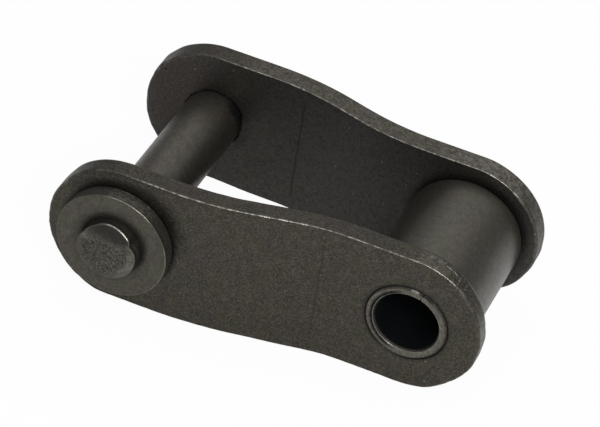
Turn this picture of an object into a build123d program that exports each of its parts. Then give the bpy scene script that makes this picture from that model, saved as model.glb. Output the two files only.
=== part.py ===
from build123d import *
import math
import os

# Offset link of a roller chain: two cranked side plates, a pin with a keeper washer at each end,
# and a curled bushing that carries a turning roller. Sizes are in millimetres.
# X runs from the pin to the bushing, Y along both axes, Z up. The origin is the middle of the bushing.

# Chain
PITCH = 38.4                    # pin axis to bushing axis
NARROW_GAP = 18.8               # between the plates at the bushing
JOINT_CLEARANCE = 0.85          # between this link's wide end and the narrow end that goes into it

# Side plates
PLATE_THICKNESS = 3.0
WIDE_GAP = NARROW_GAP + 2 * (PLATE_THICKNESS + JOINT_CLEARANCE)
PLATE_END_RADIUS = 9.9          # both round ends, so half the plate's height
FIRST_BEND_FROM_PIN = 12.4      # corner of the bend nearest the pin, on the inner face
SECOND_BEND_FROM_BUSHING = 11.4
FIRST_BEND_RADIUS = 36.0        # of the inner face, which is the hollow side of this bend
SECOND_BEND_RADIUS = 31.0       # of the inner face, which is the raised side of this bend
PLATE_EDGE_BREAK = 0.25         # left by tumbling
PIN_HOLE_BREAK = 0.5            # width of the rolled lip round the pin hole
BUSHING_HOLE_BREAK = 0.35

# Pin
PIN_DIAMETER = 8.28
PIN_PROUD = 1.15                # stands out of the washer
ROLL_OVER_HEIGHT = 1.9          # where the rolled part of the cropped end starts, above the axis
ROLL_OVER_RADIUS = 5.5
CROP_LIP_THICKNESS = 0.7        # burr pushed out by the cropping blade
CROP_LIP_SHIFT_X = 0.22
CROP_LIP_SHIFT_Z = -0.10
CROP_EDGE_BREAK = 0.3

# Keeper washers
WASHER_DIAMETER = 15.5
WASHER_THICKNESS = 2.1
WASHER_RIM_BREAK = 0.3
WASHER_HOLE_BREAK = 0.25

# Bushing
PIN_PLAY = 0.27                 # of the next link's pin in the bushing, on the diameter
BUSHING_WALL = 1.3
BUSHING_BORE = PIN_DIAMETER + PIN_PLAY
BUSHING_DIAMETER = BUSHING_BORE + 2 * BUSHING_WALL
BUSHING_PROUD = 0.12            # stands out of each plate
BUSHING_BORE_BREAK = 0.45
BUSHING_END_BREAK = 0.2
SEAM_GAP = 0.12                 # butted ends of the curled strip
SEAM_ANGLE = 73.0               # degrees from +X towards +Z

# Roller
ROLLER_WALL = 2.285
ROLLER_CLEARANCE = 0.08         # between roller bore and bushing, on the radius
ROLLER_BORE = BUSHING_DIAMETER + 2 * ROLLER_CLEARANCE
ROLLER_DIAMETER = ROLLER_BORE + 2 * ROLLER_WALL
ROLLER_END_CLEARANCE = 0.35     # between each roller end and its plate
ROLLER_EDGE_BREAK = 0.4
ROLLER_BORE_BREAK = 0.3

BEND_SHARE = 0.9                # of half the slope, the most that one bend may take up
CORNER_ANGLE = 20.0             # faces that meet at a larger angle than this make a real edge

PIN_X = -PITCH
BUSHING_X = 0.0


def along_y(x, radius, length):
    """A round bar centred on the link's middle, with its axis along Y."""
    return Pos(x, 0, 0) * Rot(X=90) * Cylinder(radius, length)


def round_edges_at(solid, radius):
    """The circular edges of one radius."""
    circles = solid.edges().filter_by(GeomType.CIRCLE)
    return circles.filter_by(lambda edge: math.isclose(edge.radius, radius, abs_tol=1e-4))


def corner_edges(solid):
    """The edges where two faces meet at a real corner, without the lines where a bend starts."""
    corners = ShapeList()
    faces = solid.faces()
    for edge in solid.edges():
        middle = edge.position_at(0.5)
        sides = [face.normal_at(middle) for face in faces if edge in face.edges()]
        if len(sides) == 2 and sides[0].get_angle(sides[1]) > CORNER_ANGLE:
            corners.append(edge)
    return corners


def bend_radius(wanted):
    """A bend's radius, smaller than wanted only where the two bends would run into each other."""
    run = PITCH - FIRST_BEND_FROM_PIN - SECOND_BEND_FROM_BUSHING
    drop = (WIDE_GAP - NARROW_GAP) / 2
    room = math.hypot(run, drop) / 2 / math.tan(math.atan2(drop, run) / 2)
    return min(wanted, BEND_SHARE * room)


def cranked_strip():
    """The bent strip on the +Y side of the link, as tall as the plate and a little longer."""
    overrun = PLATE_END_RADIUS + PLATE_THICKNESS
    inner_face = FilletPolyline(
        (PIN_X - overrun, WIDE_GAP / 2),
        (PIN_X + FIRST_BEND_FROM_PIN, WIDE_GAP / 2),
        (BUSHING_X - SECOND_BEND_FROM_BUSHING, NARROW_GAP / 2),
        (BUSHING_X + overrun, NARROW_GAP / 2),
        radius=[bend_radius(FIRST_BEND_RADIUS), bend_radius(SECOND_BEND_RADIUS)],
    )
    strip = make_brake_formed(PLATE_THICKNESS, 2 * PLATE_END_RADIUS, inner_face, side=Side.LEFT)
    return Pos(0, 0, -PLATE_END_RADIUS) * strip


def side_plate():
    """The plate on the +Y side: cranked strip, round ends, tumbled edges and two holes."""
    outline = Plane.XZ * Pos((PIN_X + BUSHING_X) / 2, 0) * SlotCenterToCenter(PITCH, 2 * PLATE_END_RADIUS)
    blank = extrude(outline, amount=WIDE_GAP + PLATE_THICKNESS, both=True)
    plate = cranked_strip() & blank
    plate = chamfer(corner_edges(plate), PLATE_EDGE_BREAK)
    reach = 2 * (WIDE_GAP + PLATE_THICKNESS)
    plate -= along_y(PIN_X, PIN_DIAMETER / 2, reach)
    plate -= along_y(BUSHING_X, BUSHING_DIAMETER / 2, reach)
    plate = chamfer(round_edges_at(plate, PIN_DIAMETER / 2), PIN_HOLE_BREAK)
    return chamfer(round_edges_at(plate, BUSHING_DIAMETER / 2), BUSHING_HOLE_BREAK)


def disc_end(x, z, face_y, length):
    """A bar of the pin's diameter that runs back from a face on the -Y side, with its edge broken."""
    bar = Pos(x, face_y + length / 2, z) * Rot(X=90) * Cylinder(PIN_DIAMETER / 2, length)
    end_edge = bar.edges().sort_by(Axis.Y)[0]
    return chamfer(end_edge, CROP_EDGE_BREAK)


def cropped_end():
    """The -Y half of the pin, ending in the face that the cropping blade left."""
    face_y = -(WIDE_GAP / 2 + PLATE_THICKNESS + WASHER_THICKNESS + PIN_PROUD)
    upper_side = Pos(PIN_X, face_y, ROLL_OVER_HEIGHT) * Box(
        2 * PIN_DIAMETER, ROLL_OVER_RADIUS, PIN_DIAMETER, align=(Align.CENTER, Align.MIN, Align.MIN)
    )
    roll = Pos(PIN_X, face_y + ROLL_OVER_RADIUS, ROLL_OVER_HEIGHT) * Rot(Y=90) * Cylinder(
        ROLL_OVER_RADIUS, 2 * PIN_DIAMETER
    )
    lip = disc_end(PIN_X + CROP_LIP_SHIFT_X, CROP_LIP_SHIFT_Z, face_y, CROP_LIP_THICKNESS)
    bar = disc_end(PIN_X, 0, face_y, -face_y)
    return bar + (lip - upper_side) - (upper_side - roll)


def pin():
    """The pin, cropped at both ends; the far end is the near one turned half round."""
    near_half = cropped_end()
    far_half = Rot(X=180) * near_half
    return near_half + far_half


def keeper_washer():
    """The washer pressed on the pin against the +Y plate."""
    seat_y = WIDE_GAP / 2 + PLATE_THICKNESS
    middle = Pos(PIN_X, seat_y + WASHER_THICKNESS / 2, 0) * Rot(X=90)
    washer = middle * Cylinder(WASHER_DIAMETER / 2, WASHER_THICKNESS)
    washer = chamfer(round_edges_at(washer, WASHER_DIAMETER / 2), WASHER_RIM_BREAK)
    washer -= middle * Cylinder(PIN_DIAMETER / 2, 2 * WASHER_THICKNESS)
    return chamfer(round_edges_at(washer, PIN_DIAMETER / 2), WASHER_HOLE_BREAK)


def bushing():
    """The tube curled from strip, with its butted seam, pressed through both plates."""
    length = NARROW_GAP + 2 * (PLATE_THICKNESS + BUSHING_PROUD)
    tube = along_y(BUSHING_X, BUSHING_DIAMETER / 2, length)
    tube -= along_y(BUSHING_X, BUSHING_BORE / 2, 2 * length)
    tube = chamfer(round_edges_at(tube, BUSHING_BORE / 2), BUSHING_BORE_BREAK)
    tube = chamfer(round_edges_at(tube, BUSHING_DIAMETER / 2), BUSHING_END_BREAK)
    seam = Pos(BUSHING_X, 0, 0) * Rot(Y=-SEAM_ANGLE) * Box(
        BUSHING_DIAMETER, 2 * length, SEAM_GAP, align=(Align.MIN, Align.CENTER, Align.CENTER)
    )
    return tube - seam


def roller():
    """The solid roller that turns on the bushing."""
    length = NARROW_GAP - 2 * ROLLER_END_CLEARANCE
    barrel = along_y(BUSHING_X, ROLLER_DIAMETER / 2, length)
    barrel = chamfer(round_edges_at(barrel, ROLLER_DIAMETER / 2), ROLLER_EDGE_BREAK)
    barrel -= along_y(BUSHING_X, ROLLER_BORE / 2, 2 * length)
    return chamfer(round_edges_at(barrel, ROLLER_BORE / 2), ROLLER_BORE_BREAK)


def build():
    """Every piece of the link, by the name that it is kept under."""
    far_plate = side_plate()
    far_washer = keeper_washer()
    return {
        "near_plate": mirror(far_plate, about=Plane.XZ),
        "far_plate": far_plate,
        "pin": pin(),
        "near_washer": mirror(far_washer, about=Plane.XZ),
        "far_washer": far_washer,
        "bushing": bushing(),
        "roller": roller(),
    }


os.makedirs("parts", exist_ok=True)
for name, piece in build().items():
    piece.label = name
    export_step(piece, f"parts/{name}.step")
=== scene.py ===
import math

import bmesh
import bpy
import numpy as np
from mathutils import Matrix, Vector, geometry, noise


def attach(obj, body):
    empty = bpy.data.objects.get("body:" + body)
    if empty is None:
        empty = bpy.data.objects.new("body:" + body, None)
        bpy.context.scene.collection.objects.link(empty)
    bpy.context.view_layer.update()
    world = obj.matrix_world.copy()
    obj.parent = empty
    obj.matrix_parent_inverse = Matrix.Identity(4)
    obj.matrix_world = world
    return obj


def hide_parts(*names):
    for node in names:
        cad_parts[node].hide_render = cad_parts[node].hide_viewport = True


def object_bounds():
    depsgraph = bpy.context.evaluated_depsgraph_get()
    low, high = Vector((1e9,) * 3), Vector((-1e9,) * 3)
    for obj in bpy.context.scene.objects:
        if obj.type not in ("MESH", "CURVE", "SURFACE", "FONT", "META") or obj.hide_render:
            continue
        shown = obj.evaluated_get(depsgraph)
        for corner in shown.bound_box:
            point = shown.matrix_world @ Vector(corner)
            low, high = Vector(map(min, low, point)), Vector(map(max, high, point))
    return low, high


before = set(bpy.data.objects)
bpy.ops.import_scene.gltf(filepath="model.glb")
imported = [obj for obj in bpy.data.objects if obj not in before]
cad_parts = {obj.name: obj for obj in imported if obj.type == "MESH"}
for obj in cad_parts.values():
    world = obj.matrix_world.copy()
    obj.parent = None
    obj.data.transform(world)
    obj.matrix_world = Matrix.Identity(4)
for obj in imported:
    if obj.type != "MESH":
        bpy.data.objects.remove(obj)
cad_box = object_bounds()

# Offset link of a roller chain, in dark heat-treated steel. Every piece stands for the solid of the same
# name, with the rounded edges, press marks and torn metal that the solid leaves out.
# X runs from the pin to the bushing, Y along both axes away from the viewer, Z up, and the origin is the
# middle of the bushing. Sizes are in millimetres and angles in degrees, from +X towards +Z.

# Chain and plates
PITCH = 38.4
PIN_X = -PITCH
NARROW_GAP = 18.8               # between the plates at the bushing
JOINT_CLEARANCE = 0.85          # between the wide end and the narrow end that goes into it
PLATE_THICKNESS = 3.0
WIDE_GAP = NARROW_GAP + 2 * (PLATE_THICKNESS + JOINT_CLEARANCE)
PLATE_END_RADIUS = 9.9
FIRST_BEND_X = PIN_X + 12.4     # corners of the inner face's line
SECOND_BEND_X = -11.4
FIRST_BEND_RADIUS = 36.0
SECOND_BEND_RADIUS = 31.0
NEAR_BEND_SHIFT = -1.1          # the near plate is bent a little nearer to the pin than the far one

# Turned pieces
PIN_RADIUS = 4.14
PIN_PROUD = 1.15                # stands out of the washer
WASHER_RADIUS = 7.75
WASHER_WEAR = 0.06              # that the rim has lost all round
WASHER_THICKNESS = 2.1
BUSHING_BORE_RADIUS = 4.275
BUSHING_RADIUS = BUSHING_BORE_RADIUS + 1.3
BUSHING_PROUD = 0.12            # stands out of each plate
SEAM_ANGLE = 73.0
SEAM_SHOWN = 0.015              # the butted ends nearly touch
ROLLER_BORE_RADIUS = BUSHING_RADIUS + 0.08
ROLLER_RADIUS = ROLLER_BORE_RADIUS + 2.285
ROLLER_HALF_LENGTH = NARROW_GAP / 2 - 0.35
SEAT_Y = WIDE_GAP / 2 + PLATE_THICKNESS
FACE_Y = SEAT_Y + WASHER_THICKNESS + PIN_PROUD

# How the real plates leave their even shape. Side -1 is the near plate, +1 the far one.
END_SWELLS = {                  # centre of the end, angle, spread of the angle, how far outwards
    -1: (
        (PIN_X, 248, 26, 0.25), (PIN_X, 147, 9, -0.11), (PIN_X, 118, 10, 0.03),
        (0.0, -66, 10, 0.11), (0.0, -20, 7, 0.07), (0.0, -8, 7, -0.06), (0.0, 11, 9, -0.11),
    ),
    1: (
        (PIN_X, 130, 8, 0.08), (PIN_X, 149, 9, 0.17), (PIN_X, 202, 18, 0.13),
        (0.0, -13, 9, 0.12), (0.0, -40, 7, 0.07), (0.0, 60, 20, -0.07),
    ),
}
EDGE_WARPS = {                  # lower edge -1 or upper edge +1, place along X, spread, how far outwards
    -1: ((-1, -14.8, 4.5, 0.38), (-1, -27.5, 4.5, -0.15)),
    1: ((-1, -30.6, 5.2, -0.38), (1, -16.0, 3.5, -0.16)),
}
DROOP = 0.26                    # of the near plate's upper edge, towards its inner face
DROOP_REACH = 1.1               # how far in from the edge
CRISP_EDGE_X = (-43.5, -39.0, 3.6, 7.2)     # where a stretch starts, is full, fades and ends
# Where the edge in view is worn and painted with its highlight: start, full, fading, end
WORN_AND_LIT_EDGE_X = (-39.5, -34.5, 3.6, 7.2)
PRESS_MARKS_X = (-25.62, -12.15)    # on the inner and on the outer face
PRESS_MARK_DEPTH = 0.05
PRESS_MARK_REACH = 0.22         # to each side
FAR_FACE_Y = WIDE_GAP / 2       # inner face of the far plate round the pin
STAIN = (-42.0, FAR_FACE_Y, 2.0)
PITS = ((-45.9, FAR_FACE_Y, 5.3), (-25.65, FAR_FACE_Y, 7.9))
PALE_DOT = (-36.3, FAR_FACE_Y, 8.8)

# How fine the meshes are
COLUMNS = 192                   # round the washers and the roller
BUSHING_COLUMNS = 190
PIN_COLUMNS = 256
ARC_STEPS = 5                   # across each rounded edge and lip
POINTS_ALONG = 110              # on each straight side of a plate
POINTS_ROUND = 92               # on each round end
RIM_ROWS = 12
BORDER = 1.6                    # width of the even strip of faces along the edge
BORDER_ROWS = (0.03, 0.12, 0.25, 0.42, 0.65)
COLLAR = 0.8                    # width of the even strip of faces round a hole's lip
FACE_GRID = 0.55
HOLES = (                       # centre, radius, rounding of the lip, points round it
    (PIN_X, PIN_RADIUS, 0.25, 160),
    (0.0, BUSHING_RADIUS, 0.12, 144),
)

# How the metal, camera, lamps and floor are set, in metres and watts
METALLIC = 0.8
MM = 0.001
CAMERA_PLACE = (0.0679292, -0.2832846, 0.2360939)
CAMERA_TURN = (51.18285, -7.13188, 22.92531)
CAMERA_LENS = 174.45            # for a 36 mm sensor
LAMP_DISTANCE = 0.6
KEY_LAMP = {"towards": (0.37, -0.66, 0.66), "size": 0.3, "watts": 2.4}
TOP_LAMP = {"towards": (-0.2, 0.35, 0.9), "size": 0.5, "watts": 0.3}
FLOOR_SIZE = 3.0                # to each side
FLOOR_GAP = 0.00002             # keeps the floor off the link's underside
WHITE = (1, 1, 1, 1)


# Small helpers

def srgb(r, g, b):
    """A colour given as 0-255 display values, as the linear RGBA that shaders take."""
    channels = []
    for value in (r, g, b):
        v = value / 255
        channels.append(v / 12.92 if v <= 0.04045 else ((v + 0.055) / 1.055) ** 2.4)
    return (*channels, 1.0)


def step(low, high, value):
    """0 at low, 1 at high, smooth between them and level beyond. low may be the larger one."""
    t = np.clip((np.asarray(value, float) - low) / (high - low), 0, 1)
    return t * t * (3 - 2 * t)


def between(value, start, full, fading, end):
    """1 from full to fading, falling smoothly to 0 at start and at end."""
    return step(start, full, value) * step(end, fading, value)


def bell(value, middle, spread):
    """1 at the middle, fading evenly to both sides."""
    return np.exp(-((value - middle) / spread) ** 2)


def angle_of(x, z):
    """The angle from +X towards +Z, -180 to 180."""
    return np.degrees(np.arctan2(z, x))


def ripple(points, size, octaves=3, shift=0.0):
    """Smooth noise of about -1 to 1 at each point, with lumps of the given size."""
    values = [
        noise.fractal(Vector((p[0] / size + shift, p[1] / size, p[2] / size)), 0.9, 2.0, octaves)
        for p in points
    ]
    return np.array(values)


def new_object(name, data):
    """An object in the scene for a mesh, lamp or camera."""
    made = bpy.data.objects.new(name, data)
    bpy.context.scene.collection.objects.link(made)
    return made


def make_piece(name, body, points, faces, marks, material):
    """A smooth-shaded mesh that stands for the solid of the same name, on its body and with its material.

    The marks of its points are kept as attributes, for the material to read.
    """
    mesh = bpy.data.meshes.new(name)
    mesh.from_pydata([tuple(p * MM) for p in points], [], faces)
    mesh.validate()
    shell = bmesh.new()
    shell.from_mesh(mesh)
    bmesh.ops.recalc_face_normals(shell, faces=shell.faces)
    shell.to_mesh(mesh)
    shell.free()
    for mark, values in marks.items():
        layer = mesh.attributes.new(mark, "FLOAT", "POINT")
        layer.data.foreach_set("value", np.asarray(values, np.float32))
    for polygon in mesh.polygons:
        polygon.use_smooth = True
    mesh.materials.append(material)
    mesh.update()
    piece = new_object(name, mesh)
    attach(piece, body)
    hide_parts(name)


def mirrored(points, faces):
    """The same mesh on the -Y side."""
    return points * (1, -1, 1), [corners[::-1] for corners in faces]


def fillet(before, corner, after, radius, steps):
    """The points of the arc that rounds a corner of a line."""
    here = np.array(corner, float)
    back = np.array(before) - here
    on = np.array(after) - here
    back = back / np.linalg.norm(back)
    on = on / np.linalg.norm(on)
    half = math.acos(np.clip(back @ on, -1, 1)) / 2
    reach = radius / math.tan(half)
    middle = here + (back + on) / np.linalg.norm(back + on) * radius / math.sin(half)
    first = here + back * reach - middle
    last = here + on * reach - middle
    turn = math.atan2(first[0] * last[1] - first[1] * last[0], first @ last)
    arc = []
    for k in range(steps + 1):
        c = math.cos(turn * k / steps)
        s = math.sin(turn * k / steps)
        arc.append(tuple(middle + (first[0] * c - first[1] * s, first[0] * s + first[1] * c)))
    return arc


def runs(start, end, spacing):
    """Points from start towards end, close together at both ends and about spacing apart between."""
    length = math.dist(start, end)
    if length < 1e-9:
        return []
    margin = min(0.05, length / 4)
    count = max(1, round((length - 2 * margin) / spacing))
    places = [margin + (length - 2 * margin) * i / count for i in range(count + 1)]
    return [tuple(a + (b - a) * p / length for a, b in zip(start, end)) for p in places]


def rounded(corners, spacing):
    """A closed line through (radius, y, rounding) corners, and how much each point lies on a rounded edge."""
    arcs = []
    for i, (r, y, rounding) in enumerate(corners):
        before = corners[i - 1][:2]
        after = corners[(i + 1) % len(corners)][:2]
        arcs.append(fillet(before, (r, y), after, rounding, ARC_STEPS))
    line = []
    edge = []
    for i, arc in enumerate(arcs):
        line += arc
        edge += [math.sin(math.pi * (k + 0.5) / len(arc)) for k in range(len(arc))]
        straight = runs(arc[-1], arcs[(i + 1) % len(arcs)][0], spacing)
        line += straight
        edge += [0.0] * len(straight)
    return line, edge


def turned(line, closed, count, start=0.0, sweep=360.0):
    """Points and faces of a line of (radius, y) turned about the Y axis, column by column."""
    columns = count if sweep >= 360.0 else count + 1
    angles = [math.radians(start + sweep * i / count) for i in range(columns)]
    points = np.array([(r * math.cos(a), y, r * math.sin(a)) for a in angles for r, y in line])
    size = len(line)
    faces = []
    for i in range(count):
        here = i * size
        there = ((i + 1) % columns) * size
        for k in range(size if closed else size - 1):
            n = (k + 1) % size
            faces.append((here + k, here + n, there + n, there + k))
    return points, faces


def in_columns(values, points):
    """The values of one column, repeated for all columns of a turned piece."""
    return np.tile(values, len(points) // len(values))


# Materials

class Tree:
    """A tree of shader nodes, built call by call."""

    def __init__(self, tree):
        self.tree = tree
        self.tree.nodes.clear()

    def add(self, kind):
        return self.tree.nodes.new(kind)

    def join(self, source, target):
        self.tree.links.new(source, target)

    def put(self, value, socket):
        if isinstance(value, bpy.types.NodeSocket):
            self.join(value, socket)
        else:
            socket.default_value = value

    def math(self, kind, a, b=0.0, c=0.0):
        node = self.add("ShaderNodeMath")
        node.operation = kind
        for value, socket in zip((a, b, c), node.inputs):
            self.put(value, socket)
        return node.outputs[0]

    def times(self, a, b):
        return self.math("MULTIPLY", a, b)

    def span(self, value, low, high, out_low, out_high):
        """value mapped from low..high to out_low..out_high, smooth and clamped."""
        node = self.add("ShaderNodeMapRange")
        node.interpolation_type = "SMOOTHSTEP"
        for v, socket in zip((value, low, high, out_low, out_high), node.inputs):
            self.put(v, socket)
        return node.outputs["Result"]

    def shine(self, kind, colour, strength):
        """Light that comes from the surface itself, or from the world."""
        node = self.add(kind)
        node.inputs["Color"].default_value = colour
        self.put(strength, node.inputs["Strength"])
        return node.outputs[0]

    def mix_shaders(self, factor, a, b):
        node = self.add("ShaderNodeMixShader")
        for source, socket in zip((factor, a, b), node.inputs):
            self.join(source, socket)
        return node.outputs[0]


class Steel(Tree):
    """A metal's node tree, with noise and spots placed in the link's own millimetres."""

    def __init__(self, name):
        self.material = bpy.data.materials.new(name)
        self.material.use_nodes = True
        super().__init__(self.material.node_tree)
        output = self.add("ShaderNodeOutputMaterial")
        self.surface = self.add("ShaderNodeBsdfPrincipled")
        self.join(self.surface.outputs[0], output.inputs["Surface"])
        place = self.add("ShaderNodeTexCoord")
        scale = self.add("ShaderNodeMapping")
        scale.inputs["Scale"].default_value = (1 / MM, 1 / MM, 1 / MM)
        self.join(place.outputs["Object"], scale.inputs["Vector"])
        self.mm = scale.outputs["Vector"]

    def noise(self, size, detail=3.0, rough=0.6, stretch=None):
        """Noise with lumps of the given size."""
        node = self.add("ShaderNodeTexNoise")
        node.inputs["Scale"].default_value = 1 / size
        node.inputs["Detail"].default_value = detail
        node.inputs["Roughness"].default_value = rough
        vector = self.mm
        if stretch:
            scale = self.add("ShaderNodeMapping")
            scale.inputs["Scale"].default_value = stretch
            self.join(self.mm, scale.inputs["Vector"])
            vector = scale.outputs["Vector"]
        self.join(vector, node.inputs["Vector"])
        return node.outputs["Fac"]

    def mix(self, factor, a, b):
        node = self.add("ShaderNodeMix")
        node.data_type = "RGBA"
        self.put(factor, node.inputs["Factor"])
        self.put(a, node.inputs["A"])
        self.put(b, node.inputs["B"])
        return node.outputs["Result"]

    def mark(self, name):
        """One of the marks that the mesh keeps for its points."""
        node = self.add("ShaderNodeAttribute")
        node.attribute_name = name
        return node.outputs["Fac"]

    def spot(self, centre, radius):
        """1 within a small ball round a point."""
        node = self.add("ShaderNodeVectorMath")
        node.operation = "DISTANCE"
        self.join(self.mm, node.inputs[0])
        node.inputs[1].default_value = centre
        return self.span(node.outputs["Value"], 0.5 * radius, 1.3 * radius, 1.0, 0.0)

    def specks(self, spacing, radius, shift):
        """Scattered small dots, on average one in each cube of the given spacing."""
        place = self.add("ShaderNodeMapping")
        place.inputs["Location"].default_value = (shift, 0, 0)
        self.join(self.mm, place.inputs["Vector"])
        node = self.add("ShaderNodeTexVoronoi")
        node.inputs["Scale"].default_value = 1 / spacing
        self.join(place.outputs["Vector"], node.inputs["Vector"])
        return self.span(node.outputs["Distance"], 0.5 * radius / spacing, radius / spacing, 1.0, 0.0)

    def bump(self, height, strength, distance, below=None):
        node = self.add("ShaderNodeBump")
        node.inputs["Strength"].default_value = strength
        node.inputs["Distance"].default_value = distance * MM
        self.join(height, node.inputs["Height"])
        if below is not None:
            self.join(below, node.inputs["Normal"])
        return node.outputs["Normal"]

    def finish(self, colour, roughness, normal):
        self.join(colour, self.surface.inputs["Base Color"])
        self.join(roughness, self.surface.inputs["Roughness"])
        self.join(normal, self.surface.inputs["Normal"])
        self.surface.inputs["Metallic"].default_value = METALLIC
        return self.material


def plate_steel():
    """Stamped and tumbled strip: speckled brown, olive and grey, with a rougher torn rim and worn edges that
    carry painted highlights.
    """
    s = Steel("plate_steel")
    brown, olive, mauve, grey = srgb(72, 68, 58), srgb(66, 65, 53), srgb(69, 64, 62), srgb(69, 68, 66)
    tint = s.noise(1.5, 3, 0.6)
    cast = s.noise(2.6, 2, 0.6, stretch=(1.0, 1.0, 0.7))
    patch = s.noise(0.8, 3, 0.6)
    grain = s.noise(0.22, 2, 0.7)
    coarse = s.noise(0.4, 2, 0.6)
    rim = s.mark("rim")
    inner = s.mark("inner")

    # The broad mottling, plainer and greyer on the inner faces
    plain = s.math("MULTIPLY_ADD", inner, -0.5, 1.0)
    colour = s.mix(s.span(tint, 0.38, 0.62, 0.0, 1.0), brown, olive)
    colour = s.mix(s.span(cast, 0.4, 0.65, 0.0, 0.7), colour, mauve)
    colour = s.mix(s.times(inner, 0.75), colour, grey)
    colour = s.mix(s.times(s.spot(STAIN, 7.0), 0.7), colour, srgb(60, 51, 49))
    colour = s.mix(s.span(patch, 0.3, 0.7, 0.3, 0.0), colour, srgb(49, 46, 42))

    # The grain, stronger on the rim
    dark = s.times(s.math("MULTIPLY_ADD", rim, 0.2, 0.65), plain)
    colour = s.mix(s.times(dark, s.span(grain, 0.3, 0.55, 1.0, 0.0)), colour, srgb(36, 33, 30))
    light = s.times(s.math("MULTIPLY_ADD", rim, 0.35, 0.6), plain)
    light = s.times(light, s.span(grain, 0.52, 0.75, 0.0, 1.0))
    colour = s.mix(light, colour, srgb(106, 100, 90))
    lumps = s.times(s.span(coarse, 0.32, 0.5, 0.5, 0.0), s.math("MULTIPLY_ADD", rim, 0.6, 1.0))
    colour = s.mix(lumps, colour, srgb(44, 40, 37))

    # Bright specks, pits, scuffs and a painted highlight on the rim, worn edges with painted highlights, and
    # dirt with painted shade
    colour = s.mix(s.times(s.specks(2.6, 0.13, 0.0), 0.8), colour, srgb(140, 136, 126))
    pit = s.specks(2.2, 0.16, 7.3)
    for place in PITS:
        pit = s.math("MAXIMUM", pit, s.spot(place, 0.2))
    colour = s.mix(s.times(pit, 0.85), colour, srgb(20, 18, 17))
    colour = s.mix(s.spot(PALE_DOT, 0.12), colour, srgb(130, 126, 120))
    # Scuffs, and a painted highlight, on the near plate's rim over the bushing
    scuff_and_highlight = s.span(s.math("MULTIPLY_ADD", coarse, 0.8, s.mark("scuff_and_highlight")), 1.02, 1.16, 0.0, 0.85)
    colour = s.mix(scuff_and_highlight, colour, srgb(142, 140, 138))
    # The rounded edges are painted light: wear, and a painted highlight where the light catches them
    bead = s.noise(0.7, 3, 0.7)
    wear_and_highlight = s.times(s.mark("edge"), s.span(bead, 0.42, 0.6, 0.2, 1.0))
    colour = s.mix(wear_and_highlight, colour, srgb(176, 172, 162))
    # Dark paint for dirt and for painted shade and shadows round the washer, bushing, roller and pin hole
    colour = s.mix(s.times(s.mark("dirt_and_shade"), 0.88), colour, srgb(21, 20, 19))

    rough = s.span(patch, 0.3, 0.7, 0.4, 0.33)
    rough = s.math("MULTIPLY_ADD", rim, 0.12, rough)
    rough = s.math("SUBTRACT", rough, s.times(wear_and_highlight, 0.1))
    fine = s.bump(grain, 0.5, 0.05)
    return s.finish(colour, rough, s.bump(coarse, 0.3, 0.06, fine))


def turned_steel(name, base, dark, light, speck, rough_span, dirt_and_shade, cover, lump=1.9, torn=False):
    """Ground and blackened steel, smoother than the plates and mottled in olive and grey.

    base turns to light in lumps. speck is how strong the grain is, and cover how well dirt and painted shade
    hide the metal.
    """
    s = Steel(name)
    tint = s.noise(lump, 3, 0.6, stretch=(1.0, 0.6, 1.0))
    patch = s.noise(0.7, 3, 0.6)
    grain = s.noise(0.24, 2, 0.7)
    colour = s.mix(s.span(tint, 0.38, 0.62, 0.0, 1.0), base, light)
    colour = s.mix(s.span(patch, 0.3, 0.65, 0.42, 0.0), colour, dark)
    colour = s.mix(s.span(grain, 0.35, 0.6, speck, 0.0), colour, dark)
    colour = s.mix(s.span(grain, 0.5, 0.75, 0.0, 0.6 * speck), colour, srgb(136, 133, 124))
    # The edges are painted light: wear, and painted highlights and glints where the light catches them
    wear_and_highlight = s.times(s.mark("edge"), s.span(s.noise(0.5, 3, 0.7), 0.35, 0.6, 0.4, 1.0))
    colour = s.mix(wear_and_highlight, colour, srgb(150, 147, 138))
    # Dark paint for dirt and for painted shade
    colour = s.mix(s.times(s.mark("dirt_and_shade"), cover), colour, dirt_and_shade)
    # Near-black paint for the painted shade deep in the bushing's bore and groove, and for the black patch on
    # the pin
    colour = s.mix(s.mark("bore"), colour, srgb(8, 14, 18))
    rough = s.span(patch, 0.3, 0.7, *rough_span)
    rough = s.math("SUBTRACT", rough, s.times(wear_and_highlight, 0.1))
    foul_and_shade = s.math("MAXIMUM", s.mark("dirt_and_shade"), s.mark("bore"))
    rough = s.math("ADD", rough, s.times(foul_and_shade, 0.35))
    normal = s.bump(grain, 0.3, 0.03)
    if torn:
        pits = s.noise(0.24, 2, 0.6)
        rag = s.mark("torn")
        colour = s.mix(s.times(rag, 0.5), colour, srgb(92, 90, 82))
        hollows = s.times(rag, s.span(pits, 0.36, 0.54, 0.68, 0.0))
        colour = s.mix(hollows, colour, srgb(28, 27, 25))
        ridges = s.times(rag, s.span(pits, 0.55, 0.75, 0.0, 0.4))
        colour = s.mix(ridges, colour, srgb(112, 108, 98))
        streak = s.span(s.noise(0.5, 3, 0.7), 0.38, 0.6, 0.25, 1.0)
        colour = s.mix(s.times(s.mark("smear"), streak), colour, srgb(112, 110, 102))
        rough = s.math("ADD", rough, s.times(rag, 0.2))
        normal = s.bump(s.times(rag, pits), 0.7, 0.12, normal)
    return s.finish(colour, rough, normal)


def washer_steel():
    return turned_steel(
        "washer_steel", base=srgb(79, 78, 67), dark=srgb(52, 49, 43), light=srgb(78, 74, 67),
        speck=0.25, rough_span=(0.42, 0.34), dirt_and_shade=srgb(26, 24, 22), cover=0.92, torn=True,
    )


def pin_steel():
    return turned_steel(
        "pin_steel", base=srgb(83, 81, 72), dark=srgb(52, 50, 45), light=srgb(81, 76, 70),
        speck=0.25, rough_span=(0.42, 0.36), dirt_and_shade=srgb(17, 17, 16), cover=0.97, torn=True,
    )


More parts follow.
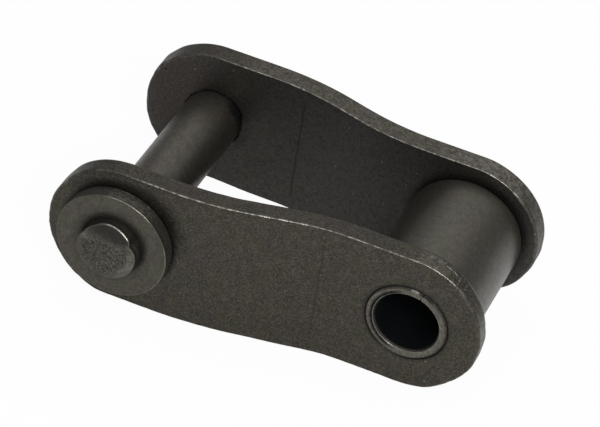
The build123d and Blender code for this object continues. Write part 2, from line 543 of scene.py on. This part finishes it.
def bushing_steel():
    return turned_steel(
        "bushing_steel", base=srgb(103, 102, 92), dark=srgb(60, 58, 53), light=srgb(99, 95, 88),
        speck=0.6, rough_span=(0.42, 0.34), dirt_and_shade=srgb(22, 17, 14), cover=0.97,
    )


def roller_steel():
    return turned_steel(
        "roller_steel", base=srgb(81, 81, 71), dark=srgb(58, 54, 48), light=srgb(84, 79, 75),
        speck=0.25, rough_span=(0.36, 0.3), dirt_and_shade=srgb(34, 27, 20), cover=0.8, lump=3.2,
    )


# Side plates

def crank_line(shift):
    """x, inner y and outer y along the cranked plate on the +Y side, its bends moved along X by shift."""
    overrun = 14.0
    bend_steps = 40
    start = (PIN_X - overrun, WIDE_GAP / 2)
    first = (FIRST_BEND_X + shift, WIDE_GAP / 2)
    second = (SECOND_BEND_X + shift, NARROW_GAP / 2)
    finish = (overrun, NARROW_GAP / 2)
    inner = [start]
    inner += fillet(start, first, second, FIRST_BEND_RADIUS, bend_steps)
    inner += fillet(first, second, finish, SECOND_BEND_RADIUS, bend_steps)
    inner.append(finish)
    inner = np.array(inner)
    slope = np.gradient(inner[:, 1], inner[:, 0])
    away = np.stack([-slope, np.ones(len(inner))], 1)
    away /= np.linalg.norm(away, axis=1)[:, None]
    outer = inner + away * PLATE_THICKNESS
    x = np.linspace(PIN_X - PLATE_END_RADIUS - 1.1, PLATE_END_RADIUS + 1.1, 900)
    return x, np.interp(x, inner[:, 0], inner[:, 1]), np.interp(x, outer[:, 0], outer[:, 1])


def outline():
    """Points (x, z) and outward directions round the plate's edge, anticlockwise seen from -Y."""
    places = []
    away = []
    for way, start, centre in ((1, PIN_X, 0.0), (-1, 0.0, PIN_X)):
        for i in range(POINTS_ALONG):
            places.append((start + way * PITCH * i / POINTS_ALONG, -way * PLATE_END_RADIUS))
            away.append((0.0, -way))
        for i in range(POINTS_ROUND):
            a = -way * math.pi / 2 + math.pi * i / POINTS_ROUND
            places.append((centre + PLATE_END_RADIUS * math.cos(a), PLATE_END_RADIUS * math.sin(a)))
            away.append((math.cos(a), math.sin(a)))
    return np.array(places), np.array(away)


def swell(side, places):
    """How far each place (x, z) of a plate's outline lies outside its even round ends."""
    total = np.zeros(len(places))
    for centre, angle, spread, amount in END_SWELLS[side]:
        past = (places[:, 0] - centre) * (-1 if centre == PIN_X else 1)
        turn = angle_of(places[:, 0] - centre, places[:, 1])
        off = (turn - angle + 180) % 360 - 180
        total += amount * bell(off, 0.0, spread) * step(0.0, 2.5, past)
    return total


def warp(side, x, z):
    """How far a plate's lower and upper parts are bent outwards, nothing under the washer."""
    total = np.zeros(len(x))
    for edge, place, spread, amount in EDGE_WARPS[side]:
        total += amount * bell(x, place, spread) * step(-6.0, PLATE_END_RADIUS, edge * z)
    return total * step(7.6, 9.6, np.hypot(x - PIN_X, z))


class Plate:
    """The mesh of a cranked plate, ring by ring, made on the +Y side. The near one is mirrored last.

    outer tells the two faces apart. The one in view is the near plate's outer face and the far plate's
    inner one: its edge is crisper, and the rim is torn next to it.
    """

    def __init__(self, side):
        self.side = side
        self.near = side < 0
        self.seed = 47.0 if self.near else 11.0
        self.line_x, self.line_in, self.line_out = crank_line(NEAR_BEND_SHIFT if self.near else 0.0)
        at, self.away = outline()
        at = at + self.away * swell(side, at)[:, None]
        self.at = np.clip(at, (PIN_X - PLATE_END_RADIUS, -PLATE_END_RADIUS), PLATE_END_RADIUS)
        self.count = len(at)
        self.points = []
        self.faces = []
        self.edge = []
        self.rim = []
        self.pressed = []
        # The first points of the rings that later faces join, by outer and, for the collars, by hole
        self.rim_ring = {}
        self.border_ring = {}
        self.collar_ring = {}

    def add(self, x, y, z, edge=0.0, rim=0.0, pressed=0.0):
        """Adds points with their marks, and returns the number of the first one."""
        start = len(self.points)
        self.points.extend(zip(x, y, z))
        for marks, values in ((self.edge, edge), (self.rim, rim), (self.pressed, pressed)):
            marks.extend(np.broadcast_to(values, len(x)))
        return start

    def bridge(self, first, second, size, flip):
        """A band of faces between two rings."""
        for i in range(size):
            n = (i + 1) % size
            quad = (first + i, first + n, second + n, second + i)
            self.faces.append(quad[::-1] if flip else quad)

    def face_y(self, x, outer, drop=0.0):
        """y of the outer or inner face, or that of a place which lies by drop below it."""
        line, inwards = (self.line_out, -1) if outer else (self.line_in, 1)
        return np.interp(x, self.line_x, line) + inwards * drop

    def unevenness(self, x, z, outer):
        """How far the face lies below its even surface, nothing at the edge."""
        from_axis = np.hypot(x - np.clip(x, PIN_X, 0), z)
        lump = np.column_stack([x, np.full(len(x), self.seed + (3 if outer else 0)), z])
        fade = step(PLATE_END_RADIUS - 0.6, PLATE_END_RADIUS - 2.6, from_axis)
        return 0.014 * (1 + ripple(lump, 5.0, 2)) * fade

    def add_edges(self):
        """The rounded edges of both faces, each from the rim to the ring where the even border ends."""
        x, z = self.at.T
        around = np.column_stack([x, np.full(self.count, self.seed), z])
        crisp = between(x, *CRISP_EDGE_X)
        sharp = (0.08 + 0.28 * (1 - crisp)) * (1 + 0.45 * ripple(around, 0.9, 3))
        rolled = 0.3 + 0.6 * step(1, 8, x) if self.near else 0.09
        rolled = rolled * (1 + 0.2 * ripple(around, 2.2, 3, 5.0))
        upper = step(0.1, 0.8, self.away[:, 1]) * (1 - 0.65 * step(-20, -8, x))
        droop = DROOP * upper if self.near else np.zeros(self.count)
        # The edge in view is painted with wear and a highlight, full along the middle and faint round both
        # ends; the other edge only faintly
        bead = 0.8 + 0.5 * ripple(around, 0.6, 2, 9.0)
        worn_and_lit = 0.12 + 0.88 * between(x, *WORN_AND_LIT_EDGE_X)
        for outer in (True, False):
            if outer == self.near:
                self.add_edge(outer, sharp, droop, bead * worn_and_lit)
            else:
                self.add_edge(outer, rolled, 0.0, bead * 0.15)

    def add_edge(self, outer, rounding, droop, shine_and_wear):
        previous = None
        for k in range(ARC_STEPS + 1):
            a = math.pi / 2 * k / ARC_STEPS
            inset = rounding * (1 - math.cos(a))
            drop = rounding * (1 - math.sin(a)) + droop * np.clip(1 - inset / DROOP_REACH, 0, 1) ** 2
            x, z = (self.at - self.away * inset[:, None]).T
            # Wear and painted highlight, strongest at the middle of the rounding
            worn_and_lit = np.clip(shine_and_wear * math.sin(math.pi * (k + 0.5) / (ARC_STEPS + 1)), 0, 1)
            ring = self.add(x, self.face_y(x, outer, drop), z, edge=worn_and_lit)
            if previous is None:
                self.rim_ring[outer] = ring
            else:
                self.bridge(previous, ring, self.count, not outer)
            previous = ring
        for inset in (*(rounding + row for row in BORDER_ROWS), np.full(self.count, BORDER)):
            x, z = (self.at - self.away * inset[:, None]).T
            drop = self.unevenness(x, z, outer) + droop * np.clip(1 - inset / DROOP_REACH, 0, 1) ** 2
            ring = self.add(x, self.face_y(x, outer, drop), z)
            self.bridge(previous, ring, self.count, not outer)
            previous = ring
        self.border_ring[outer] = previous

    def rim_polish_and_sheen(self):
        """How brightly each place of the rim is rubbed, with a painted sheen where light falls on it."""
        x, z = self.at.T
        turn = angle_of(x, z)
        if self.near:
            top = 0.16 * between(turn, 62, 74, 91, 97)
            right = 0.3 * between(turn, -16, -2, 12, 34)
            return (top + right) * (x >= 0)
        end = 0.24 * step(25, 55, turn) * step(-14, 2, x)
        ridge = 0.1 * step(-36, -33, x) * (z > 0)
        return np.maximum(end, ridge)

    def add_rim(self):
        """The cut rim between the two rounded edges, smooth on its hidden side and torn on the other."""
        polish_and_sheen = self.rim_polish_and_sheen()
        low, high = (
            np.array([y for _, y, _ in self.points[ring:ring + self.count]])
            for ring in (self.rim_ring[False], self.rim_ring[True])
        )
        previous = self.rim_ring[False]
        for k in range(1, RIM_ROWS):
            t = k / RIM_ROWS
            y = low + (high - low) * t
            lump = np.column_stack([self.at[:, 0], y + self.seed, self.at[:, 1]])
            torn = step(0.15, 0.4, t if self.near else 1 - t)
            depth = 0.02 * torn * (0.2 + ripple(lump, 0.45, 3)) + 0.006 * ripple(lump, 1.8, 2)
            x, z = (self.at - self.away * np.clip(depth, 0, 0.06)[:, None]).T
            ring = self.add(x, y, z, edge=polish_and_sheen, rim=1.0)
            self.bridge(previous, ring, self.count, False)
            previous = ring
        self.bridge(previous, self.rim_ring[True], self.count, False)

    def broken_lip(self, turn):
        """How much wider the pin hole's lip is on the inner face, where it broke away at its upper right."""
        ragged = np.column_stack([np.cos(turn) * 5, np.full(len(turn), self.seed), np.sin(turn) * 5])
        place = angle_of(np.cos(turn), np.sin(turn))
        broken = 0.5 * between(place, 4, 34, 100, 128) * (1 - 0.45 * step(62, 84, place))
        return np.clip(broken - 0.08 + 0.3 * ripple(ragged, 0.35, 3), -0.17, 0.7)

    def add_holes(self):
        """The walls and rolled lips of both holes."""
        wall_ring = {}
        for outer in (True, False):
            for index, (centre, radius, lip, size) in enumerate(HOLES):
                turn = np.linspace(0, 2 * math.pi, size, endpoint=False)
                at_pin = centre == PIN_X
                width = lip + (self.broken_lip(turn) if at_pin and not outer else 0.0)
                rows = [(0.0, width + 0.6, 0.0), (0.0, width, 0.0)]
                for k in range(1, ARC_STEPS + 1):
                    a = math.pi / 2 * k / ARC_STEPS
                    # A painted highlight round the middle of the bushing hole's rounded lip
                    shine_and_wear = 0.3 if 2 <= k <= 4 and not at_pin else 0.0
                    rows.append((width * (1 - math.cos(a)), width * (1 - math.sin(a)), shine_and_wear))
                rows.append((width + 0.05, 0.0, 0.0))
                rows.append(((width + lip + COLLAR) / 2, 0.0, 0.0))
                rows.append((lip + COLLAR, 0.0, 0.0))
                previous = None
                for inset, drop, shine_and_wear in rows:
                    x = centre + (radius + inset) * np.cos(turn)
                    z = (radius + inset) * np.sin(turn)
                    y = self.face_y(x, outer, drop + self.unevenness(x, z, outer))
                    ring = self.add(x, y, z, edge=shine_and_wear)
                    if previous is None:
                        wall_ring[outer, index] = ring
                    else:
                        self.bridge(previous, ring, size, outer)
                    previous = ring
                self.collar_ring[outer, index] = previous
        for index, (_, _, _, size) in enumerate(HOLES):
            self.bridge(wall_ring[False, index], wall_ring[True, index], size, True)

    def face_pattern(self):
        """Where the points of both faces lie between their rings, with rows along the press marks."""
        beside_mark = 0.62
        loose = []
        for row_x in PRESS_MARKS_X:
            for off in (-0.36, -0.2, -0.1, 0.0, 0.1, 0.2, 0.36):
                loose += [(row_x + off, z) for z in np.arange(-8.0, 8.01, 0.4)]
        for j, z in enumerate(np.arange(-8.2, 8.21, FACE_GRID * 0.866)):
            for x in np.arange(-47, 9, FACE_GRID) + (j % 2) * FACE_GRID / 2:
                if all(abs(x - row_x) > beside_mark for row_x in PRESS_MARKS_X):
                    loose.append((x, z))
        clear = 0.3
        kept = []
        for x, z in loose:
            from_axis = math.hypot(x - min(max(x, PIN_X), 0.0), z)
            in_border = from_axis > PLATE_END_RADIUS - BORDER - clear
            in_collar = any(math.hypot(x - c, z) < r + lip + COLLAR + clear for c, r, lip, _ in HOLES)
            if not in_border and not in_collar:
                kept.append((x, z))
        return kept

    def add_faces(self):
        """Both faces, filled with one flat pattern of triangles."""
        flat = [tuple(p) for p in self.at - self.away * BORDER]
        borders = [(0, self.count)]
        for centre, radius, lip, size in HOLES:
            borders.append((len(flat), size))
            reach = radius + lip + COLLAR
            for i in range(size):
                a = 2 * math.pi * i / size
                flat.append((centre + reach * math.cos(a), reach * math.sin(a)))
        first_inside = len(flat)
        flat += self.face_pattern()
        edges = [(start + i, start + (i + 1) % size) for start, size in borders for i in range(size)]
        _, _, found, origins, _, _ = geometry.delaunay_2d_cdt([Vector(p) for p in flat], edges, [], 0, 1e-7)
        triangles = [tuple(origins[v][0] for v in triangle) for triangle in found]
        # A triangle between three points of one border lies in a hole or in a hollow of the outline
        inside = [c for c in triangles if not any(all(s <= v < s + n for v in c) for s, n in borders)]
        x, z = np.array(flat[first_inside:]).T
        for outer in (True, False):
            number = []
            rings = (self.border_ring[outer], self.collar_ring[outer, 0], self.collar_ring[outer, 1])
            for (_, size), ring in zip(borders, rings):
                number += range(ring, ring + size)
            pressed = self.press_mark(x, z, outer)
            y = self.face_y(x, outer, self.unevenness(x, z, outer) + PRESS_MARK_DEPTH * pressed)
            start = self.add(x, y, z, pressed=pressed)
            number += range(start, start + len(x))
            for triangle in inside:
                corners = tuple(number[v] for v in triangle)
                self.faces.append(corners[::-1] if outer else corners)

    def press_mark(self, x, z, outer):
        """How deep each place lies in the line that the press left across the face."""
        line_x = PRESS_MARKS_X[1 if outer else 0] + 0.05 * np.sin(z * 1.7)
        deep = np.clip(1 - np.abs(x - line_x) / PRESS_MARK_REACH, 0, 1)
        return deep * step(8.2, 7.0, np.abs(z)) * (0.6 if outer else 1.0)

    def marks(self, x, y, z):
        """What the material needs to know of each point, all from 0 to 1."""
        rim = np.array(self.rim)
        inner_y = self.face_y(x, False)
        outer_y = self.face_y(x, True)
        outside = y > (inner_y + outer_y) / 2

        # Painted shadow round the washer, with a dark contact line at its seat, and painted shade in the pin
        # hole's wall and broken lip
        from_pin = np.hypot(x - PIN_X, z)
        seat = WASHER_RADIUS - 0.1
        above = between(angle_of(x - PIN_X, z), -15, 40, 120, 160)
        washer_shadow = 0.58 * step(seat + 3.3, seat + 0.5, from_pin) * above
        round_washer = np.maximum(step(seat + 0.55, seat + 0.1, from_pin), washer_shadow)
        in_hole = np.clip((y - inner_y - 0.012) / 0.02, 0, 1)
        in_hole = in_hole * step(PIN_RADIUS + 1.5, PIN_RADIUS + 1.3, from_pin)
        dirt_and_shade = np.where(outside, round_washer, in_hole)

        # Painted shade: a dark contact line round the bushing outside, and a painted shadow round the roller
        # inside
        from_bushing = np.hypot(x, z)
        round_bushing = step(BUSHING_RADIUS + 0.24, BUSHING_RADIUS + 0.12, from_bushing)
        round_roller = 0.7 * step(ROLLER_RADIUS + 1.1, ROLLER_RADIUS + 0.1, from_bushing)
        dirt_and_shade = np.maximum(dirt_and_shade, np.where(outside, round_bushing, round_roller))

        # Darker in the press marks and on the rim, at the left end and along the near plate
        dirt_and_shade = np.maximum(dirt_and_shade, 0.75 * np.array(self.pressed))
        dirt_and_shade = np.maximum(dirt_and_shade, 0.3 * rim * step(-37.5, -42.0, x))
        if self.near:
            dirt_and_shade = np.maximum(dirt_and_shade, 0.16 * rim * between(x, -41, -37, -5, 1))

        # A scuffed patch on the near plate's rim over the bushing, and a painted highlight along a line near
        # its back edge
        turn = angle_of(x, z)
        behind = outer_y - y
        line = bell(behind, 1.9, 0.16) * between(turn, 58, 61, 71, 75)
        patch = 0.6 * between(turn, 42, 50, 58, 66) * between(behind, 0.0, 0.2, 1.8, 2.6)
        return {
            "edge": self.edge,
            "rim": rim,
            "dirt_and_shade": dirt_and_shade,
            "inner": step(0.3, 0.0, y - inner_y) * (1 - rim),
            "scuff_and_highlight": np.maximum(line, patch) * rim * (x > 0) * self.near,
        }

    def finish(self, name, material):
        points = np.array(self.points)
        marks = self.marks(*points.T)
        points[:, 1] += warp(self.side, points[:, 0], points[:, 2])
        faces = self.faces
        if self.near:
            points, faces = mirrored(points, faces)
        make_piece(name, "link", points, faces, marks, material)


def plate(name, side, material):
    """A plate with rounded edges, torn rim, rolled lips and the press's marks. side is +1 (far) or -1."""
    mesh = Plate(side)
    mesh.add_edges()
    mesh.add_rim()
    mesh.add_holes()
    mesh.add_faces()
    mesh.finish(name, material)


# Turned pieces

def squeeze(points, share):
    """Moves points towards the Y axis by a share of their radius."""
    points[:, 0] *= 1 - share
    points[:, 2] *= 1 - share


def roller(material):
    """The solid roller, with a band of painted brown shade on its upper right and painted shade towards its
    ends.
    """
    half, bore, rim = ROLLER_HALF_LENGTH, ROLLER_BORE_RADIUS, ROLLER_RADIUS
    line, edge = rounded([(bore, -half, 0.3), (rim, -half, 0.45), (rim, half, 0.45), (bore, half, 0.3)], 0.6)
    points, faces = turned(line, True, COLUMNS)
    x, y, z = points.T
    ends = 0.6 * step(half - 1.8, half - 0.1, np.abs(y))
    shade_band = 0.3 * bell(angle_of(x, z), 38, 9) * (0.8 + 0.5 * ripple(points, 3.0, 2))
    marks = {"edge": 0.3 * in_columns(edge, points), "dirt_and_shade": np.clip(np.maximum(ends, shade_band), 0, 1)}
    make_piece("roller", "roller", points, faces, marks, material)


def washer(name, side, material):
    """A keeper washer. The punch drew its hole's edge in, and its rim is torn behind a smooth front edge."""
    seat, face = SEAT_Y, SEAT_Y + WASHER_THICKNESS
    hole, rim = PIN_RADIUS, WASHER_RADIUS - WASHER_WEAR
    line, edge = rounded([(hole, seat, 0.1), (rim, seat, 0.08), (rim, face, 0.13), (hole, face, 0.05)], 0.2)
    draw_depth = 0.34
    draw_reach = 1.9
    drawn = []
    for r, y in line:
        depth = draw_depth * max(0.0, 1 - (r - hole) / draw_reach) ** 2.2 if y > seat + 1 else 0.0
        drawn.append((r, y - depth))
    points, faces = turned(drawn, True, COLUMNS)
    radius = np.hypot(points[:, 0], points[:, 2])
    turn = angle_of(points[:, 0], points[:, 2])
    behind = face - points[:, 1]

    # The torn rim, and the wider waves of the whole outline
    lump = points + np.array([0, 60.0 if side > 0 else 20.0, 0])
    on_rim = step(rim - 0.05, rim - 0.01, radius) * step(0.2, 0.5, behind)
    shrink = on_rim * (0.05 + 0.07 * ripple(lump, 0.4, 3))
    shrink += 0.02 * ripple(lump, 2.5, 2) * step(WASHER_RADIUS - 0.5, WASHER_RADIUS, radius)
    squeeze(points, np.clip(shrink, 0, 0.12) / radius)

    # The rim is painted light at its top as a highlight, and darker to both sides, partly dirt and partly
    # painted shade
    lit = between(turn, 46, 58, 90, 104)
    # Painted shade round the pin and at the seat
    round_pin = 0.3 * step(hole + 2.2, hole + 0.2, radius) * step(0.8, 0.3, behind)
    round_pin = round_pin * (0.45 + 0.55 * step(0, 30, turn) + 0.55 * step(-150, -175, turn))
    foul_and_shade = 0.58 + 0.14 * step(56, 40, turn) + 0.15 * step(1.1, 1.6, behind)
    foul_and_shade = foul_and_shade * on_rim * step(0.15, 0.3, behind) * (1 - lit) * step(-22, -10, turn)
    on_seat = step(seat + 0.2, seat, points[:, 1])
    # Painted highlights: the front edge on the lit top and along the right, and the torn rim's light specks
    # on the lit top
    shine = 0.06 + 0.5 * lit + 0.34 * between(turn, -50, -40, 16, 28)
    marks = {
        "edge": in_columns(edge, points) * shine,
        "torn": on_rim * step(0.35, 0.6, behind) * (0.4 + 0.6 * lit),
        "dirt_and_shade": np.maximum.reduce([round_pin, foul_and_shade, on_seat]),
    }
    points[:, 0] += PIN_X
    if side < 0:
        points, faces = mirrored(points, faces)
    make_piece(name, "link", points, faces, marks, material)


def bushing(material):
    """The curled tube, open along its seam, with a fine groove round the left half of each end."""
    half = NARROW_GAP / 2 + PLATE_THICKNESS + BUSHING_PROUD
    bore, rim = BUSHING_BORE_RADIUS, BUSHING_RADIUS
    groove = bore + 0.44
    end = [                     # radius, depth from the end and rounding, from the bore outwards
        (bore, 0.5, 0.12), (bore + 0.22, 0.0, 0.08), (groove - 0.07, 0.0, 0.01),
        (groove, 0.05, 0.01), (groove + 0.07, 0.0, 0.01), (rim, 0.0, 0.42),
    ]
    corners = [(r, depth - half, e) for r, depth, e in end]
    corners += [(r, half - depth, e) for r, depth, e in end[::-1]]
    line, edge = rounded(corners, 0.5)
    gap = math.degrees(SEAM_SHOWN / BUSHING_RADIUS)
    points, faces = turned(line, True, BUSHING_COLUMNS, SEAM_ANGLE + gap / 2, 360 - gap)
    size = len(line)
    faces.append(tuple(range(size))[::-1])
    faces.append(tuple(range(len(points) - size, len(points))))
    radius = np.hypot(points[:, 0], points[:, 2])
    turn = angle_of(points[:, 0], points[:, 2])
    depth = half - np.abs(points[:, 1])
    at_end = depth < 0.12

    # The groove is deep on the left and runs out towards the right
    deep = 1 - between(turn, -125, -95, 95, 125)
    grooved = (np.abs(radius - groove) < 0.085) & at_end
    points[:, 1] += np.sign(points[:, 1]) * np.where(grooved, depth * (1 - deep), 0.0)
    groove_shade = step(0.19, 0.1, np.abs(radius - groove) + 0.03 * ripple(points, 0.5, 2)) * deep * at_end

    # Painted shade on the rim's outer part and on its wall within the plate, and a painted glint beside the
    # seam
    glint = between(turn, 79, 82, 89, 92) * (radius > rim - 0.3) * at_end
    shade = np.maximum.reduce([
        0.58 * step(rim - 0.4, rim - 0.28, radius) * between(turn, -80, -40, 120, 160),
        0.9 * between(turn, 50, 58, 75, 78) * (radius > rim - 0.3),
        0.9 * step(0.1, 0.16, depth) * (radius > rim - 0.2),
    ])
    shade = shade * (1 - glint)
    wear_and_highlight = in_columns(edge, points) * np.where(radius > rim - 0.5, 0.0, 0.5) * (depth < 0.6) + glint

    # The strip's ends leave a small notch in the bore
    from_seam = (turn - SEAM_ANGLE + 180) % 360 - 180
    notch = 0.1 * np.clip(1 - np.abs(from_seam) / 2.6, 0, 1) * (radius < bore + 0.3) * (depth < 1.0)
    squeeze(points, -notch / radius)
    # Near-black painted shade in the groove on the left and deep in the bore
    ragged = 0.9 * step(0.12, 0.06, np.abs(radius - groove) + 0.05 * ripple(points, 0.4, 2)) * deep * at_end
    inside = step(0.08, 0.3, depth) * (radius < bore + 0.2)
    marks = {
        "edge": np.clip(wear_and_highlight, 0, 1),
        "dirt_and_shade": np.clip(shade + 0.95 * groove_shade, 0, 1),
        "bore": np.maximum(inside, ragged),
    }
    make_piece("bushing", "link", points, faces, marks, material)


def pin_line():
    """Half the pin's line of (radius, y), from the middle of its face inwards, and how strongly its edge is
    painted light for wear and a painted highlight.
    """
    rounding = 0.15
    face = [(r, FACE_Y) for r in np.linspace(0, PIN_RADIUS - 0.2, 60)]
    arc = [
        (PIN_RADIUS - rounding * (1 - math.sin(a)), FACE_Y - rounding * (1 - math.cos(a)))
        for a in np.linspace(0, math.pi / 2, 7)
    ]
    stub = (0.06, 0.16, 0.26, 0.36, 0.46, 0.56, 0.66, 0.8, 1.0, 1.4, 2.5)
    wall = [(PIN_RADIUS, FACE_Y - rounding - depth) for depth in stub]
    wall += [(PIN_RADIUS, y) for y in (15.5, 14.5, 13.6)]
    wall += [(PIN_RADIUS, y) for y in np.arange(13.3, 11.5, -0.12)]
    wall += [(PIN_RADIUS, y) for y in np.linspace(11.3, 0, 12)]
    edge = [0.0] * len(face) + [0.4, 0.8, 1.0, 1.0, 1.0, 0.8, 0.4] + [0.0] * len(wall)
    return face + arc + wall, edge


def pin(material):
    """The pin with its cropped ends: a smooth rolled part above, torn metal and a pushed-out lip below."""
    line, edge = pin_line()
    line += [(r, -y) for r, y in line[-2::-1]]
    edge += edge[-2::-1]
    points, faces = turned(line[::-1], False, PIN_COLUMNS)
    near = points[:, 1] < 0
    upwards = np.where(near, 1, -1)     # the far end is the near one turned half round
    up = points[:, 2] * upwards
    turn = angle_of(points[:, 0], up)
    radius = np.hypot(points[:, 0], points[:, 2])
    depth = FACE_Y - np.abs(points[:, 1])
    lump = points + np.array([0, 30.0, 0])

    # The torn part of the face is pitted inside a smoother band, and the part above it is rolled over
    wander = 0.18 * ripple(lump, 1.6, 3)
    torn = step(0.25, -0.25, up - 1.62 - 0.06 * points[:, 0] ** 2 + wander)
    lip_side = between(turn, -75, -45, 5, 25)
    band = 0.6 + 0.55 * lip_side + 0.3 * ripple(lump, 1.0, 2)
    pitted = np.clip((PIN_RADIUS - band + 0.3 - radius) / 0.5, 0, 1)
    pits = np.clip(0.12 + 0.14 * ripple(lump, 0.36, 3) + 0.08 * ripple(lump, 1.3, 2), 0, 0.35)
    sink = torn * step(0.5, 0.1, depth) * (0.12 + 0.88 * pitted) * pits
    roll = 0.08 * np.clip(up - 1.9, 0, 3) ** 2 * (1 - torn) * step(2.2, 0.6, depth)
    points[:, 1] -= np.sign(points[:, 1]) * (sink + roll)

    # The stub is pared at its upper right and left, and sits a little to the left and low, as its lip does
    pared = 0.42 * bell(turn, 31, 10.5) + 0.1 * between(turn, 40, 52, 92, 112)
    pared = pared + 0.3 * between(turn, 90, 124, 146, 178)
    pared = pared * step(1.7, 1.2, depth) * step(PIN_RADIUS - 1.4, PIN_RADIUS, radius)
    squeeze(points, pared * np.where(near, 1.0, 0.4) / PIN_RADIUS)
    lip = torn * step(0.82, 0.62, depth)
    stub = step(1.2, 0.3, depth)
    points[:, 0] -= 0.1 * lip * step(-3.5, 1.5, points[:, 0]) + 0.12 * stub
    points[:, 2] -= upwards * (0.06 * lip + 0.13 * stub)

    across = points[:, 0]
    on_face = step(0.24, 0.1, depth)
    smeared_lip = np.clip(0.08 + 0.55 * lip_side + 0.5 * ripple(lump, 0.5, 3), 0, 1)
    smear_spread = math.sqrt(0.5)
    smeared_spot = 0.7 * bell(across, -3.3, smear_spread) * bell(up, 1.3, smear_spread)

    # Painted shade on the stub's wall and on the shank beside the plates, and darker paint on the rolled part
    # and on the torn part's left
    base = WASHER_THICKNESS + PIN_PROUD
    round_stub = 0.8 * between(depth, 0.16, 0.26, base - 0.4, base) * (radius > PIN_RADIUS - 0.02)
    rolled = 0.66 * (1 - torn) * step(0.9, 0.5, depth) * step(0.0, 3.0, up + 0.28 * across)
    rolled = rolled * step(PIN_RADIUS - 0.1, PIN_RADIUS - 0.22, radius)
    torn_left = 0.18 * torn * step(0.3, 0.1, depth) * step(1.5, -2.5, across)
    past_plate = WIDE_GAP / 2 - np.abs(points[:, 1])
    beside_plate = 0.45 * step(3.2, 0.2, past_plate) * (past_plate > -0.1)

    # A ragged black patch at the far plate, on the pin's right: grease and painted shadow
    to_far_plate = WIDE_GAP / 2 - points[:, 1]
    patch_length = 1.15 + 0.5 * ripple(lump, 0.7, 2)
    patch = np.clip(0.8 + 0.8 * ripple(lump, 0.32, 2), 0.1, 1)
    patch = patch * between(angle_of(across, points[:, 2]), -26, -12, 48, 64)
    patch = patch * step(patch_length + 0.25, patch_length - 0.25, to_far_plate) * (to_far_plate > -0.1)
    # The rounded rim of the face is painted light on its upper right: a painted highlight
    marks = {
        "edge": in_columns(edge, points) * (1 - 0.6 * torn) * (0.12 + 0.88 * between(turn, 41, 50, 90, 101)),
        "torn": torn * step(0.35, 0.05, depth) * (0.1 + 0.9 * pitted),
        "smear": on_face * np.maximum(torn * (1 - pitted) * smeared_lip, smeared_spot),
        "dirt_and_shade": np.maximum.reduce([round_stub, rolled, torn_left, beside_plate]),
        "bore": patch,
    }
    points[:, 0] += PIN_X
    make_piece("pin", "link", points, faces, marks, material)


# Floor, world, lamps and camera

def pale_floor():
    """Nearly white to the camera and dim in reflections, with the link's soft shadow kept."""
    material = bpy.data.materials.new("pale_floor")
    material.use_nodes = True
    tree = Tree(material.node_tree)
    output = tree.add("ShaderNodeOutputMaterial")
    diffuse = tree.add("ShaderNodeBsdfDiffuse")
    diffuse.inputs["Color"].default_value = (0.85, 0.85, 0.85, 1)
    glow = tree.shine("ShaderNodeEmission", WHITE, 1.0)
    path = tree.add("ShaderNodeLightPath")
    to_camera = tree.times(path.outputs["Is Camera Ray"], 0.95)
    glowing = tree.math("MULTIPLY_ADD", path.outputs["Is Glossy Ray"], 0.25, to_camera)
    surface = tree.mix_shaders(glowing, diffuse.outputs[0], glow)
    tree.join(surface, output.inputs["Surface"])
    return material


def build_floor():
    reach = FLOOR_SIZE
    z = cad_box[0][2] - FLOOR_GAP
    mesh = bpy.data.meshes.new("floor")
    mesh.from_pydata([(-reach, -reach, z), (reach, -reach, z), (reach, reach, z), (-reach, reach, z)], [],
                     [(0, 1, 2, 3)])
    mesh.materials.append(pale_floor())
    new_object("floor", mesh)


def build_world():
    """White to the camera. Metal reflects a room that dims from its ceiling to its walls."""
    soft_light = 0.55
    walls, ceiling = 0.3, 1.1
    world = bpy.data.worlds.new("studio")
    bpy.context.scene.world = world
    world.use_nodes = True
    tree = Tree(world.node_tree)
    output = tree.add("ShaderNodeOutputWorld")
    path = tree.add("ShaderNodeLightPath")
    seen = tree.math("MAXIMUM", path.outputs["Is Camera Ray"], path.outputs["Is Transmission Ray"])
    seen_or_reflected = tree.math("MAXIMUM", seen, path.outputs["Is Glossy Ray"])
    towards = tree.add("ShaderNodeTexCoord")
    height = tree.add("ShaderNodeSeparateXYZ")
    tree.join(towards.outputs["Generated"], height.inputs[0])
    room = tree.span(height.outputs["Z"], 0.42, 0.64, walls, ceiling)
    white = tree.shine("ShaderNodeBackground", WHITE, tree.math("MAXIMUM", room, seen))
    soft = tree.shine("ShaderNodeBackground", WHITE, soft_light)
    tree.join(tree.mix_shaders(seen_or_reflected, soft, white), output.inputs["Surface"])


def lamp(name, towards, size, watts):
    """A round soft lamp in the given direction from the link's middle, aimed at it."""
    data = bpy.data.lights.new(name, "AREA")
    data.shape = "DISK"
    data.size = size
    data.energy = watts
    made = new_object(name, data)
    middle = Vector((PIN_X / 2 * MM, 0, 0))
    direction = Vector(towards).normalized()
    made.location = middle + direction * LAMP_DISTANCE
    made.rotation_euler = direction.to_track_quat("Z", "Y").to_euler()


def build_camera():
    data = bpy.data.cameras.new("camera")
    data.sensor_width = 36
    data.lens = CAMERA_LENS
    data.clip_start = 0.01
    camera = new_object("camera", data)
    camera.location = CAMERA_PLACE
    camera.rotation_euler = tuple(math.radians(a) for a in CAMERA_TURN)
    bpy.context.scene.camera = camera
    bpy.context.scene.view_settings.view_transform = "Standard"


plates = plate_steel()
plate("near_plate", -1, plates)
plate("far_plate", 1, plates)
washers = washer_steel()
washer("near_washer", -1, washers)
washer("far_washer", 1, washers)
pin(pin_steel())
bushing(bushing_steel())
roller(roller_steel())
build_floor()
build_world()
lamp("key", **KEY_LAMP)
lamp("top", **TOP_LAMP)
build_camera()
